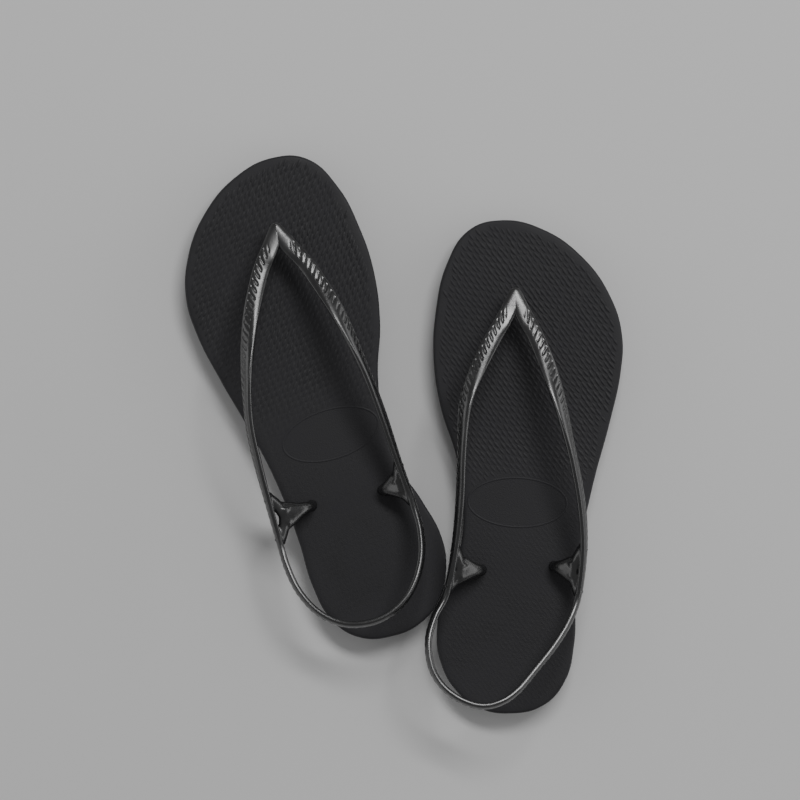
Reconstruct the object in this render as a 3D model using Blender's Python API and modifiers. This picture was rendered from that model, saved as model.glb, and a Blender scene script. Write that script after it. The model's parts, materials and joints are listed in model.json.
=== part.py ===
"""A pair of slingback flip flops: two soles, each with a one-piece rubber strap.

Each sandal is drawn in its own frame, in metres: the origin is on the floor under the tip of the
heel, +Y runs to the toes, +Z is up and +X points to the outer side of the foot. The left sandal
takes the same numbers with X turned round. Two empties then place the sandals on the floor.

A sole is a wedge of two layers, the footbed and the outsole. The strap passes through three holes
in the sole, one between the toes and two beside the heel, and ends in a round plug under each.
Behind the heel holes the strap runs on as a sling round the back of the foot. The sling flexes
where it leaves the strap, so it is a body of its own there, with a rounded end in a hollow seat.
"""

import math

import bmesh
import bpy
from mathutils import Matrix, Vector

MM = 0.001
GAP = 0.3 * MM

# Sole
SOLE_LENGTH = 245 * MM
HEEL_THICKNESS = 17 * MM
TOE_THICKNESS = 14 * MM
FOOTBED_THICKNESS = 4.5 * MM
SOLE_EDGE_RADIUS = 0.8 * MM
OUTLINE_STEPS = 4
SOLE_OUTLINE_MM = [
    (0, 0), (17, 4.5), (27.5, 17), (31.5, 36), (31.5, 58), (33.5, 88), (38.5, 117), (45.5, 147),
    (50, 172), (50, 190), (43.5, 209), (29, 228), (8, 241.5), (-12, 245), (-28, 239.5),
    (-38.5, 222), (-43, 199), (-43.5, 177), (-39, 151), (-30.5, 127), (-26, 102), (-27, 80),
    (-33, 60), (-37, 40), (-34.5, 24), (-26, 10), (-14, 2),
]

# Tread: straight grooves across the ball and the heel of the outsole
GROOVE_WIDTH = 2.4 * MM
GROOVE_DEPTH = 1.2 * MM
GROOVE_PITCH = 11 * MM
GROOVE_FIELDS = [(17 * MM, 4), (126 * MM, 6)]

# Holes in the sole, and the strap's round plugs under them
TOE_HOLE = Vector((-2.6, 204)) * MM
INNER_HOLE = Vector((-16, 71)) * MM
OUTER_HOLE = Vector((20, 74)) * MM
HOLE_CLEARANCE = 0.35 * MM
TOE_STEM_RADIUS = 2.9 * MM
NECK_STEM_RADIUS = 3.4 * MM
PLUG_RADIUS = 8.5 * MM
PLUG_THICKNESS = 3 * MM
PLUG_FROM_FLOOR = 1.2 * MM
ROUND_STEPS = 24

# Strap: a flat band that turns on edge towards the heel
BAND_WIDTH = 7.5 * MM
BAND_THICKNESS = 3 * MM
BAND_END_WIDTH = 5.2 * MM
FLAT_UNTIL = 188 * MM
ON_EDGE_FROM = 118 * MM
ON_EDGE_LEAN = math.radians(80)
SECTION_STEPS = 10
ROUTE_STEPS = 2

# Flex line between strap and sling
KNUCKLE_RADIUS = 3 * MM
KNUCKLE_LENGTH = 3.8 * MM
SEAT_LENGTH = 12 * MM

# Routes of the middle of the band, each from front to back, in millimetres
ROUTES_MM = {
    "right": {
        "inner": [(-4.2, 206.5, 30.5), (-8.5, 197.5, 32.5), (-15, 185, 36.5), (-21, 172, 41),
                  (-25.5, 160, 44.5), (-27.8, 147, 46.5), (-28.3, 126, 45.5), (-28.3, 106, 41),
                  (-29.6, 84, 35), (-33, 60.5, 32)],
        "outer": [(-4.2, 206.5, 30.5), (0.5, 198, 32.5), (6, 188.5, 35.5), (12, 175, 40),
                  (17.6, 160, 44.5), (22.3, 145, 46.5), (28, 124, 45), (32.2, 104, 40.5),
                  (34, 84, 35), (32.5, 62.5, 32)],
        "sling": [(-33, 60, 32), (-38.5, 48, 34), (-41.3, 36, 37.5), (-39.5, 23.5, 42),
                  (-34, 14.5, 45.5), (-25, 8, 47.5), (-14.5, 5, 48), (-5, 7, 47.5), (3.5, 13, 45.5),
                  (12.5, 24, 41.5), (21.5, 36, 37.5), (28.5, 48.5, 34), (32.5, 62, 32)],
    },
    "left": {
        "inner": [(-3.2, 208.5, 30.5), (-7.5, 199.5, 32.5), (-12.5, 189, 35.5), (-17.2, 174, 40.5),
                  (-20.8, 160, 44.5), (-23.6, 144, 46.5), (-25.8, 126, 45.5), (-27, 106, 41),
                  (-27.5, 84, 35), (-28.5, 60.5, 32)],
        "outer": [(-3.2, 208.5, 30.5), (3, 201, 32), (11, 190.5, 35), (20.5, 173, 40.5),
                  (28, 155, 45), (33.5, 138, 46.5), (37.5, 120, 44.5), (39, 103, 40.5),
                  (39.8, 85, 35), (40.3, 62.5, 32)],
        "sling": [(-28.5, 60, 32), (-28.3, 48, 33.5), (-25.5, 36, 36.5), (-19.5, 25, 40),
                  (-11, 16.5, 42.5), (0, 11.5, 44), (11.5, 11, 44), (22.5, 14.5, 42.5),
                  (32, 23, 40), (38, 35, 36.5), (40.3, 48, 33.5), (40.3, 62, 32)],
    },
}

# Where the sandals stand: the heel tip on the floor, and the turn about it
PLACES = {
    "right": {"heel": Vector((51.9, -138.8, 0)) * MM, "turn": math.radians(-2)},
    "left": {"heel": Vector((-5, -100.2, 0)) * MM, "turn": math.radians(17)},
}
MIRROR = {"right": 1, "left": -1}

FOOTBED_COLOUR = (0.022, 0.022, 0.024, 1)
OUTSOLE_COLOUR = (0.018, 0.018, 0.019, 1)
STRAP_COLOUR = (0.012, 0.012, 0.013, 1)


def plain_material(name, colour, roughness):
    """A rubber: one colour and one roughness, not metallic."""
    made = bpy.data.materials.new(name)
    made.use_nodes = True
    shader = made.node_tree.nodes["Principled BSDF"]
    shader.inputs["Base Color"].default_value = colour
    shader.inputs["Roughness"].default_value = roughness
    shader.inputs["Metallic"].default_value = 0
    return made


def add_object(name, data, frame, collection, material=None):
    """Links an object that holds data, as a child of the sandal's frame."""
    made = bpy.data.objects.new(name, data)
    collection.objects.link(made)
    made.parent = frame
    if material:
        data.materials.append(material)
    return made


def finish_mesh(shape, name):
    """Turns a bmesh of one closed body into a mesh whose faces point out."""
    bmesh.ops.recalc_face_normals(shape, faces=shape.faces)
    mesh = bpy.data.meshes.new(name)
    shape.to_mesh(mesh)
    shape.free()
    mesh.shade_smooth()
    mesh.set_sharp_from_angle(angle=math.radians(40))
    return mesh


def hide_tool(tool):
    """Marks an object as a cutter or a shape that a Boolean joins, not a part."""
    tool.hide_render = True
    tool.display_type = "WIRE"


def combine(part, tool, operation):
    """Joins a tool to a part, or cuts the part with it."""
    hide_tool(tool)
    step = part.modifiers.new(f"{operation.lower()} {tool.name}", "BOOLEAN")
    step.operation = operation
    step.solver = "EXACT"
    step.object = tool


def sole_top(y):
    """Height of the footbed at a place along the sole: a straight wedge, thickest at the heel."""
    return HEEL_THICKNESS + (TOE_THICKNESS - HEEL_THICKNESS) * y / SOLE_LENGTH


def outline_mesh(name, side, thickness):
    """The sole's outline as a plate from z = 0 up, with its caps welded on."""
    curve = bpy.data.curves.new(name, "CURVE")
    curve.dimensions = "2D"
    curve.fill_mode = "BOTH"
    curve.extrude = thickness / 2
    spline = curve.splines.new("BEZIER")
    spline.bezier_points.add(len(SOLE_OUTLINE_MM) - 1)
    spline.use_cyclic_u = True
    spline.resolution_u = OUTLINE_STEPS
    for point, (x, y) in zip(spline.bezier_points, SOLE_OUTLINE_MM):
        point.co = (x * MM * MIRROR[side], y * MM, 0)
        point.handle_left_type = "AUTO"
        point.handle_right_type = "AUTO"
    outline = bpy.data.objects.new(name, curve)
    bpy.context.scene.collection.objects.link(outline)
    shape = bmesh.new()
    evaluated = outline.evaluated_get(bpy.context.evaluated_depsgraph_get())
    shape.from_mesh(evaluated.to_mesh())
    bmesh.ops.remove_doubles(shape, verts=shape.verts, dist=0.01 * MM)
    bmesh.ops.translate(shape, verts=shape.verts, vec=(0, 0, thickness / 2))
    bpy.data.objects.remove(outline)
    return shape


def sole_layer(name, side, low, high, frame, collection, material):
    """One layer of the sole. low and high give its underside and its top along the sole."""
    shape = outline_mesh(name, side, FOOTBED_THICKNESS)
    for vertex in shape.verts:
        is_top = vertex.co.z > FOOTBED_THICKNESS / 2
        vertex.co.z = high(vertex.co.y) if is_top else low(vertex.co.y)
    made = add_object(name, finish_mesh(shape, name), frame, collection, material)
    edge = made.modifiers.new("rounded edges", "BEVEL")
    edge.width = SOLE_EDGE_RADIUS
    edge.segments = 1
    edge.limit_method = "ANGLE"
    edge.angle_limit = math.radians(50)
    return made


def round_bar(name, side, centre, radius, low, high, frame, collection):
    """An upright round bar at a hole: a stem's hole, a plug or a plug's recess."""
    shape = bmesh.new()
    place = Matrix.Translation((centre.x * MIRROR[side], centre.y, (low + high) / 2))
    bmesh.ops.create_cone(
        shape, cap_ends=True, segments=ROUND_STEPS, radius1=radius, radius2=radius,
        depth=high - low, matrix=place,
    )
    return add_object(name, finish_mesh(shape, name), frame, collection)


def cross_bar(name, middle, direction, radius, length, frame, collection):
    """A round bar that lies along a direction, for the flex line's knuckles and seats."""
    shape = bmesh.new()
    turn = direction.to_track_quat("Z", "Y").to_matrix().to_4x4()
    bmesh.ops.create_cone(
        shape, cap_ends=True, segments=ROUND_STEPS, radius1=radius, radius2=radius,
        depth=length, matrix=Matrix.Translation(middle) @ turn,
    )
    return add_object(name, finish_mesh(shape, name), frame, collection)


def groove_bars(name, frame, collection):
    """The cutter of the tread: one long bar for each groove."""
    shape = bmesh.new()
    for start, count in GROOVE_FIELDS:
        for index in range(count):
            middle = Vector((0, start + index * GROOVE_PITCH, 0))
            size = Matrix.Diagonal((0.2, GROOVE_WIDTH, 2 * GROOVE_DEPTH, 1))
            bmesh.ops.create_cube(shape, size=1, matrix=Matrix.Translation(middle) @ size)
    return add_object(name, finish_mesh(shape, name), frame, collection)


def blend_step(start, end, value):
    """0 up to start, 1 from end on, and a smooth rise between them."""
    share = min(max((value - start) / (end - start), 0), 1)
    return share * share * (3 - 2 * share)


def smooth_route(points, steps):
    """Points on a Catmull-Rom curve through the given points, whatever their number of values."""
    ends = [2 * points[0] - points[1], *points, 2 * points[-1] - points[-2]]
    route = []
    for before, start, end, after in zip(ends, ends[1:], ends[2:], ends[3:]):
        for index in range(steps):
            t = index / steps
            route.append(
                0.5 * (2 * start + (end - before) * t
                       + (2 * before - 5 * start + 4 * end - after) * t**2
                       + (3 * start - before - 3 * end + after) * t**3)
            )
    return [*route, points[-1]]


def band(name, side, route, sizes, frame, collection, material=None, level=(0, 0, 1), power=0.6):
    """A band lofted along a route. sizes gives each place's width, thickness and lean.

    level is the direction that the band's width keeps square to; an upright band takes another one.
    A power of 1 makes the section an ellipse, and a lower one squares its sides.
    """
    shape = bmesh.new()
    rings = []
    for index, point in enumerate(route):
        ahead = route[min(index + 1, len(route) - 1)] - route[max(index - 1, 0)]
        across = ahead.cross(Vector(level)).normalized()
        above = across.cross(ahead).normalized()
        width, thickness, lean = sizes[index]
        wide = across * math.cos(lean) - above * math.sin(lean)
        deep = across * math.sin(lean) + above * math.cos(lean)
        ring = []
        for step in range(SECTION_STEPS):
            angle = math.tau * (step + 0.5) / SECTION_STEPS
            out = math.copysign(abs(math.cos(angle)) ** power, math.cos(angle)) * width / 2
            up = math.copysign(abs(math.sin(angle)) ** power, math.sin(angle)) * thickness / 2
            corner = point + wide * out + deep * up
            ring.append(shape.verts.new((corner.x * MIRROR[side], corner.y, corner.z)))
        rings.append(ring)
    for ring, following in zip(rings, rings[1:]):
        for step in range(SECTION_STEPS):
            other = (step + 1) % SECTION_STEPS
            shape.faces.new((ring[step], ring[other], following[other], following[step]))
    shape.faces.new(rings[0])
    shape.faces.new(rings[-1])
    return add_object(name, finish_mesh(shape, name), frame, collection, material)


def in_metres(points_mm):
    """A route's points as vectors in metres."""
    return [Vector(point) * MM for point in points_mm]


def at_length(route, y):
    """The point of a route that is nearest to a place along the sole."""
    return min(route, key=lambda point: abs(point.y - y))


def arm_sizes(route, turn):
    """An arm lies flat by the toes, and stands on edge and gets narrower towards the flex line."""
    sizes = []
    for point in route:
        lean = turn * ON_EDGE_LEAN * blend_step(FLAT_UNTIL, ON_EDGE_FROM, point.y)
        narrow = blend_step(80 * MM, 62 * MM, point.y)
        width = BAND_WIDTH + (BAND_END_WIDTH - BAND_WIDTH) * narrow
        sizes.append((width, BAND_THICKNESS, lean))
    return sizes


def sling_sizes(route):
    """The sling stands on edge all round, and is narrower at its two ends."""
    sizes = []
    for point in route:
        narrow = blend_step(48 * MM, 60 * MM, point.y)
        width = BAND_WIDTH + (BAND_END_WIDTH - BAND_WIDTH) * narrow
        sizes.append((width, BAND_THICKNESS, ON_EDGE_LEAN))
    return sizes


def stem_route(hole, onward):
    """A stem: upright from its plug to just above the sole, and then on through other points."""
    base = Vector((hole.x, hole.y, PLUG_FROM_FLOOR + PLUG_THICKNESS / 2))
    top = Vector((hole.x, hole.y, sole_top(hole.y)))
    collar = top + Vector((0, 0, 2 * MM))
    return [base, top + Vector((0, 0, 0.5 * MM)), *smooth_route([collar, *onward], ROUTE_STEPS)]


def neck(name, side, hole, arm, frame, tools):
    """A neck that rises from a heel hole and forks into two prongs, which meet the arm."""
    front = at_length(arm, hole.y + 14 * MM)
    rear = at_length(arm, hole.y - 5 * MM)
    foot = Vector((hole.x, hole.y, sole_top(hole.y)))
    fork = foot.lerp((front + rear) / 2, 0.6)
    stem = stem_route(hole, [foot.lerp(fork, 0.5) + Vector((0, 0, 2 * MM)), fork])
    stem_sizes = [(2 * NECK_STEM_RADIUS, 2 * NECK_STEM_RADIUS, 0)] * len(stem)
    pieces = [band(f"{name}_stem", side, stem, stem_sizes, frame, tools, None, (0, 1, 0), 1)]
    for end, label in ((front, "front"), (rear, "rear")):
        prong = [fork - (end - fork) * 0.15, fork.lerp(end, 0.55) - Vector((0, 0, MM)), end]
        prong = smooth_route(prong, ROUTE_STEPS)
        prong_sizes = [(4.2 * MM, 4.2 * MM, 0)] * len(prong)
        pieces.append(band(f"{name}_{label}_prong", side, prong, prong_sizes, frame, tools))
    return pieces


def build_sandal(side, parts, tools, materials):
    """One sandal: footbed, outsole, thong strap and heel sling."""
    frame = bpy.data.objects.new(f"{side}_sandal_frame", None)
    parts.objects.link(frame)
    frame.location = PLACES[side]["heel"]
    frame.rotation_euler.z = PLACES[side]["turn"]

    def layer_line(y):
        return sole_top(y) - FOOTBED_THICKNESS

    footbed = sole_layer(
        f"{side}_footbed", side, layer_line, sole_top, frame, parts, materials["footbed"]
    )
    outsole = sole_layer(
        f"{side}_outsole", side, lambda y: 0, lambda y: layer_line(y) - GAP, frame, parts,
        materials["outsole"],
    )
    combine(outsole, groove_bars(f"{side}_tread", frame, tools), "DIFFERENCE")

    routes = ROUTES_MM[side]
    inner = smooth_route(in_metres(routes["inner"]), ROUTE_STEPS)
    outer = smooth_route(in_metres(routes["outer"]), ROUTE_STEPS)
    sling_route = smooth_route(in_metres(routes["sling"]), ROUTE_STEPS)

    strap = band(
        f"{side}_thong_strap", side, inner, arm_sizes(inner, 1), frame, parts, materials["strap"]
    )
    outer_arm = band(f"{side}_outer_arm", side, outer, arm_sizes(outer, -1), frame, tools)
    combine(strap, outer_arm, "UNION")

    post = stem_route(TOE_HOLE, [inner[0] + Vector((0, -2, -0.5)) * MM])
    post_sizes = [(2 * TOE_STEM_RADIUS, 2 * TOE_STEM_RADIUS, 0)] * len(post)
    post = band(f"{side}_toe_post", side, post, post_sizes, frame, tools, None, (1, 0, 0), 1)
    combine(strap, post, "UNION")
    for name, hole, arm in (("inner", INNER_HOLE, inner), ("outer", OUTER_HOLE, outer)):
        for piece in neck(f"{side}_{name}_neck", side, hole, arm, frame, tools):
            combine(strap, piece, "UNION")

    holes = (("toe", TOE_HOLE, TOE_STEM_RADIUS), ("inner", INNER_HOLE, NECK_STEM_RADIUS),
             ("outer", OUTER_HOLE, NECK_STEM_RADIUS))
    for name, hole, radius in holes:
        plug_top = PLUG_FROM_FLOOR + PLUG_THICKNESS
        plug = round_bar(
            f"{side}_{name}_plug", side, hole, PLUG_RADIUS, PLUG_FROM_FLOOR, plug_top, frame, tools
        )
        combine(strap, plug, "UNION")
        bore = round_bar(
            f"{side}_{name}_hole", side, hole, radius + HOLE_CLEARANCE, -MM, 20 * MM, frame, tools
        )
        combine(footbed, bore, "DIFFERENCE")
        combine(outsole, bore, "DIFFERENCE")
        recess = round_bar(
            f"{side}_{name}_recess", side, hole, PLUG_RADIUS + HOLE_CLEARANCE, -MM, plug_top + GAP,
            frame, tools,
        )
        combine(outsole, recess, "DIFFERENCE")

    sling = band(
        f"{side}_heel_sling", side, sling_route, sling_sizes(sling_route), frame, parts,
        materials["strap"],
    )
    ends = [sling_route[0], sling_route[-1]]
    for end in ends:
        end.x *= MIRROR[side]
    flex_line = ends[1] - ends[0]
    for index, end in enumerate(ends):
        knuckle = cross_bar(
            f"{side}_knuckle_{index}", end, flex_line, KNUCKLE_RADIUS, KNUCKLE_LENGTH, frame, tools
        )
        combine(sling, knuckle, "UNION")
        seat = cross_bar(
            f"{side}_seat_{index}", end, flex_line, KNUCKLE_RADIUS + GAP, SEAT_LENGTH, frame, tools
        )
        combine(strap, seat, "DIFFERENCE")


def build():
    """Both sandals, in one collection of parts and one of tools."""
    for old in list(bpy.data.objects):
        bpy.data.objects.remove(old)
    parts = bpy.data.collections.new("slingback_flip_flops")
    tools = bpy.data.collections.new("cutters")
    for collection in (parts, tools):
        bpy.context.scene.collection.children.link(collection)
    materials = {
        "footbed": plain_material("footbed rubber", FOOTBED_COLOUR, 0.75),
        "outsole": plain_material("outsole rubber", OUTSOLE_COLOUR, 0.65),
        "strap": plain_material("glossy strap rubber", STRAP_COLOUR, 0.28),
    }
    for side in ("right", "left"):
        build_sandal(side, parts, tools, materials)


build()
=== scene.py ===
import json
import math
import bpy
import numpy as np
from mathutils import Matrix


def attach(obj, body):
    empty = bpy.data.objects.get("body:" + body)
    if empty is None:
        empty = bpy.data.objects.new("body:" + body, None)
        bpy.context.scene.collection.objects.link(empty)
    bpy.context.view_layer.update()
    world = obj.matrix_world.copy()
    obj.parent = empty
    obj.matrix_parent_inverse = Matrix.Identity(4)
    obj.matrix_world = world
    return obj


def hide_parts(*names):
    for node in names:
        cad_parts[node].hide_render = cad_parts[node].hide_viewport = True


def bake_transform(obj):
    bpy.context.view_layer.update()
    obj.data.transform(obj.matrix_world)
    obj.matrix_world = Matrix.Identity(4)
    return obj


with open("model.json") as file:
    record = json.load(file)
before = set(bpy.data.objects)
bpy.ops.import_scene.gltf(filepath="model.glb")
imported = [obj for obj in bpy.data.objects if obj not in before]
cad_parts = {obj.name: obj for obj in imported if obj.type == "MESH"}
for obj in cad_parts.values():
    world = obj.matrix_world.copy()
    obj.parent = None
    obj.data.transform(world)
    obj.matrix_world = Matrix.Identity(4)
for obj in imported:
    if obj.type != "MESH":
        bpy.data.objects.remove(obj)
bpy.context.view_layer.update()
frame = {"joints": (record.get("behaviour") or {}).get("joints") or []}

# THE OUTSOLES
# The lower part of each sole: a slab of foamed rubber, moulded as a shallow wedge that is thicker
# under the heel, with a softly rounded edge. The wavy tread and the three wells for the strap's
# plugs are moulded in its underside.

# Lengths are in millimetres, on a sandal's own axes: x towards the foot's outer side, y from the heel
# to the toes, and z up. Only the materials, the floor, the lights and the camera are in metres.
MM = 0.001
SIDES = ("right", "left")
MIRROR = {"right": 1, "left": -1}
SOLE_LENGTH = 245.0
HEEL_HEIGHT = 17.0
TOE_HEIGHT = 14.0
FOOTBED_THICKNESS = 4.5
LAYER_GAP = 0.3
SOLE_OUTLINE = (
    (0, 0), (17, 4.5), (27.5, 17), (31.5, 36), (31.5, 58), (33.5, 88), (38.5, 117), (45.5, 147), (50, 172),
    (50, 190), (43.5, 209), (29, 228), (8, 241.5), (-12, 245), (-28, 239.5), (-38.5, 222), (-43, 199),
    (-43.5, 177), (-39, 151), (-30.5, 127), (-26, 102), (-27, 80), (-33, 60), (-37, 40), (-34.5, 24),
    (-26, 10), (-14, 2),
)
OUTLINE_STEPS = 10
HANDLE_DIVISOR = 2.5614
CORE_INSET = 4.0
SPINE = ((38, -2.5), (100, 5.0), (200, 3.0))
FLEX_LINE = {"right": ((-33, 60), (32.5, 62)), "left": ((-28.5, 60), (40.3, 62))}
STEM_HOLES = {"toe": (-2.6, 204.0), "inner": (-16.0, 71.0), "outer": (20.0, 74.0)}
STEM_RADIUS = {"toe": 2.6, "inner": 2.1, "outer": 2.1}
HOLE_CLEARANCE = 0.2
HOLE_SIDES = 32
HOLE_CUT = (3.5, 20.0)
WELL_HEIGHT = 4.5
WELL_CHAMFER = 0.4
WELL_SIDES = 48
WELL_PROFILE = (
    (9.6, -1.0), (9.6, 0.0), (9.0, 0.7), (8.9, 1.4), (8.9, WELL_HEIGHT - WELL_CHAMFER),
    (8.5, WELL_HEIGHT),
)
GROOVE_GROUPS = ((17, 4), (126, 6))
GROOVE_PITCH = 11
GROOVE_WIDTH = 2.4
GROOVE_DEPTH = 1.2
GROOVE_MOUTH_SHARE = 1.25
GROOVE_FLOOR_SHARE = 0.8
GROOVE_SWING = 1.6
GROOVE_WAVELENGTH = 15
GROOVE_REACH = 60
GROOVE_STATIONS = 97
CUT_BELOW = 1.0
MOULDED_EDGE_ANGLE = 35
FOAM_CELL = 0.00055
FOAM_SKIN = 0.0012
OUTSOLE_PROFILE = (
    (-0.85, 1.0), (-0.5, 1.0), (-0.2, 1.0), (CORE_INSET, 1.0), (1.2, 1.0), (0.75, 0.985), (0.45, 0.955),
    (0.35, 0.91), (0.35, 0.7), (0.5, 0.45), (0.75, 0.28), (1.1, 0.15), (1.7, 0.06), (2.5, 0.012),
    (3.3, 0.0), (CORE_INSET, 0.0), (-0.2, 0.0), (-0.5, 0.0), (-0.85, 0.0),
)


def sandal_place(side):
    """The turn and the heel point of a sandal, from the line that its sling flexes about. The frame
    gives that line in full, and it is known in the sandal's own measures too. The turn is the
    difference between its two directions. The heel point is its middle in the frame, less its own
    middle after that turn."""
    joint = next(joint for joint in frame["joints"] if joint["name"] == f"{side}_sling_flex")
    inner, outer = np.array(FLEX_LINE[side], float) * (MIRROR[side], 1)
    along = (inner - outer) * -np.sign(inner[0] - outer[0])
    turn = math.atan2(joint["axis"][1], joint["axis"][0]) - math.atan2(along[1], along[0])
    rotation = np.array(((math.cos(turn), -math.sin(turn)), (math.sin(turn), math.cos(turn))))
    heel = np.array(joint["pos_m"][:2]) / MM - rotation @ ((inner + outer) / 2)
    return rotation, heel


PLACE = {side: sandal_place(side) for side in SIDES}


def in_frame(points, side):
    """Points in a sandal's own millimetres as points of the frame in metres: the left foot's are
    mirrored, and all are turned and moved to the heel point."""
    rotation, heel = PLACE[side]
    placed = np.array(points, float)
    placed[..., 0] *= MIRROR[side]
    placed[..., :2] = placed[..., :2] @ rotation.T + heel
    return placed * MM


def step_up(start, end, value):
    """0 before start, 1 past end, whichever of them is the greater, and between them the smooth
    cubic 3t^2 - 2t^3 of the share t of the way."""
    share = np.clip((value - start) / (end - start), 0, 1)
    return share * share * (3 - 2 * share)


def sole_top(y):
    """Height of the footbed along the sole: a straight line from the heel's height to the toe's."""
    return HEEL_HEIGHT + (TOE_HEIGHT - HEEL_HEIGHT) * y / SOLE_LENGTH


def layer_line(y):
    """Height of the footbed's underside along the sole."""
    return sole_top(y) - FOOTBED_THICKNESS


def outsole_top(y):
    """Height of the outsole's top along the sole: a thin gap under the footbed."""
    return layer_line(y) - LAYER_GAP


def outsole_bottom(y):
    """Height of the outsole's underside along the sole, which lies flat on the ground."""
    return y * 0


def outline_curve(points, steps):
    """A closed smooth curve through the points. At each point the tangent bisects its two sides, and
    each side is a cubic whose handles lie along the tangents, at the side's length over the handle
    divisor."""
    corner = np.array(points, float)
    back = corner - np.roll(corner, 1, 0)
    ahead = np.roll(corner, -1, 0) - corner
    back_length = np.linalg.norm(back, axis=1, keepdims=True)
    ahead_length = np.linalg.norm(ahead, axis=1, keepdims=True)
    tangent = back / back_length + ahead / ahead_length
    tangent /= np.linalg.norm(tangent, axis=1, keepdims=True) * HANDLE_DIVISOR
    leaving = corner + tangent * ahead_length
    arriving = np.roll(corner - tangent * back_length, -1, 0)
    t = (np.arange(steps) / steps)[None, :, None]
    curve = (
        corner[:, None] * (1 - t) ** 3 + 3 * leaving[:, None] * t * (1 - t) ** 2
        + 3 * arriving[:, None] * t * t * (1 - t) + np.roll(corner, -1, 0)[:, None] * t**3
    )
    return curve.reshape(-1, 2)


def outward_normals(curve):
    """Unit normals of a closed curve that runs anticlockwise: each tangent turned a quarter turn to
    the right."""
    tangent = np.roll(curve, -1, 0) - np.roll(curve, 1, 0)
    tangent /= np.linalg.norm(tangent, axis=1, keepdims=True)
    return np.stack((tangent[:, 1], -tangent[:, 0]), 1)


SOLE_EDGE = outline_curve(SOLE_OUTLINE, OUTLINE_STEPS)
SOLE_NORMAL = outward_normals(SOLE_EDGE)


def grid_quads(rows, columns, rows_close=False):
    """The quads of a grid of points that is numbered row by row. Its columns always join round, and
    its last row joins the first where rows_close says so."""
    row = np.arange(rows if rows_close else rows - 1)[:, None]
    column = np.arange(columns)[None]
    following = (row + 1) % rows
    beside = (column + 1) % columns
    corners = (row * columns + column, row * columns + beside, following * columns + beside,
               following * columns + column)
    return np.stack(np.broadcast_arrays(*corners), -1).reshape(-1, 4)


def end_caps(rows, columns):
    """The two faces that close the first and the last row of such a grid."""
    ring = np.arange(columns)
    return np.stack((ring[::-1], ring + (rows - 1) * columns))


def signed_volume(points, faces):
    """Six times the volume that the faces enclose, positive where they face outwards: the sum, over
    the triangles that fan out from each face's first corner, of that corner dotted with the cross
    product of the other two."""
    total = 0.0
    for group in faces:
        corners = points[group]
        total += float((corners[:, :1] * np.cross(corners[:, 1:-1], corners[:, 2:])).sum())
    return total


def new_piece(name, points, faces, side, material):
    """A smooth closed mesh in the frame from points in millimetres and groups of faces, turned to
    face outwards."""
    placed = in_frame(points.reshape(-1, 3), side)
    order = 1 if signed_volume(placed, faces) > 0 else -1
    corners = [face for group in faces for face in group[:, ::order].tolist()]
    mesh = bpy.data.meshes.new(name)
    mesh.from_pydata(placed.tolist(), [], corners)
    mesh.polygons.foreach_set("use_smooth", np.ones(len(mesh.polygons), bool))
    mesh.materials.append(material)
    mesh.update()
    piece = bpy.data.objects.new(name, mesh)
    bpy.context.scene.collection.objects.link(piece)
    return piece


def sole_slab(name, profile, low, high, side, material):
    """A slab of the sole: its edge profile carried round the outline. A profile point is an inset
    from the outline and a share of the height between low(y) and high(y). An inset below zero is a
    share of the way from the core, a line inset evenly all round, to the spine."""
    spine_y = np.clip(SOLE_EDGE[:, 1], SPINE[0][0], SPINE[-1][0])
    spine = np.stack((np.interp(spine_y, *zip(*SPINE)), spine_y), 1)
    inset = np.array([point[0] for point in profile])[:, None, None]
    share = np.array([point[1] for point in profile])[:, None]
    ledge = SOLE_EDGE - SOLE_NORMAL * np.maximum(inset, 0)
    core = SOLE_EDGE - SOLE_NORMAL * CORE_INSET
    plan = np.where(inset < 0, core + (spine - core) * -inset, ledge)
    bottom, top = low(plan[..., 1]), high(plan[..., 1])
    height = bottom + (top - bottom) * share
    points = np.concatenate((plan, height[..., None]), -1)
    rows, columns = points.shape[:2]
    faces = [grid_quads(rows, columns), end_caps(rows, columns)]
    return new_piece(name, points, faces, side, material)


def turned_bar(middle, profile, sides):
    """Points and faces of a body of revolution about an upright line: circles of the profile's radii
    at its heights, with a flat cap at each end."""
    angle = np.arange(sides) * math.tau / sides
    radius, height = np.array(profile, float).T
    x = middle[0] + radius[:, None] * np.cos(angle)
    y = middle[1] + radius[:, None] * np.sin(angle)
    points = np.stack((x, y, np.repeat(height[:, None], sides, 1)), -1)
    rows = len(profile)
    return points.reshape(-1, 3), [grid_quads(rows, sides), end_caps(rows, sides)]


def gathered(shells):
    """Several shells of points and faces as one."""
    points, faces, start = [], [], 0
    for shell_points, shell_faces in shells:
        points.append(shell_points)
        faces.extend(group + start for group in shell_faces)
        start += len(shell_points)
    return np.concatenate(points), faces


def settle(piece):
    """Applies the piece's modifiers to its mesh and makes all its faces smooth."""
    graph = bpy.context.evaluated_depsgraph_get()
    shape = bpy.data.meshes.new_from_object(piece.evaluated_get(graph))
    piece.modifiers.clear()
    shape.name = piece.name
    piece.data = shape
    shape.polygons.foreach_set("use_smooth", np.ones(len(shape.polygons), bool))


def carve(piece, shells, side):
    """Cuts shells, given in millimetres, out of the piece, and marks its sharp moulded edges."""
    points, faces = gathered(shells)
    cutter = new_piece(f"{piece.name}_cutter", points, faces, side, piece.data.materials[0])
    cut = piece.modifiers.new("moulded hollows", "BOOLEAN")
    cut.operation = "DIFFERENCE"
    cut.solver = "EXACT"
    cut.object = cutter
    settle(piece)
    piece.data.set_sharp_from_angle(angle=math.radians(MOULDED_EDGE_ANGLE))
    bpy.data.objects.remove(cutter)


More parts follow.
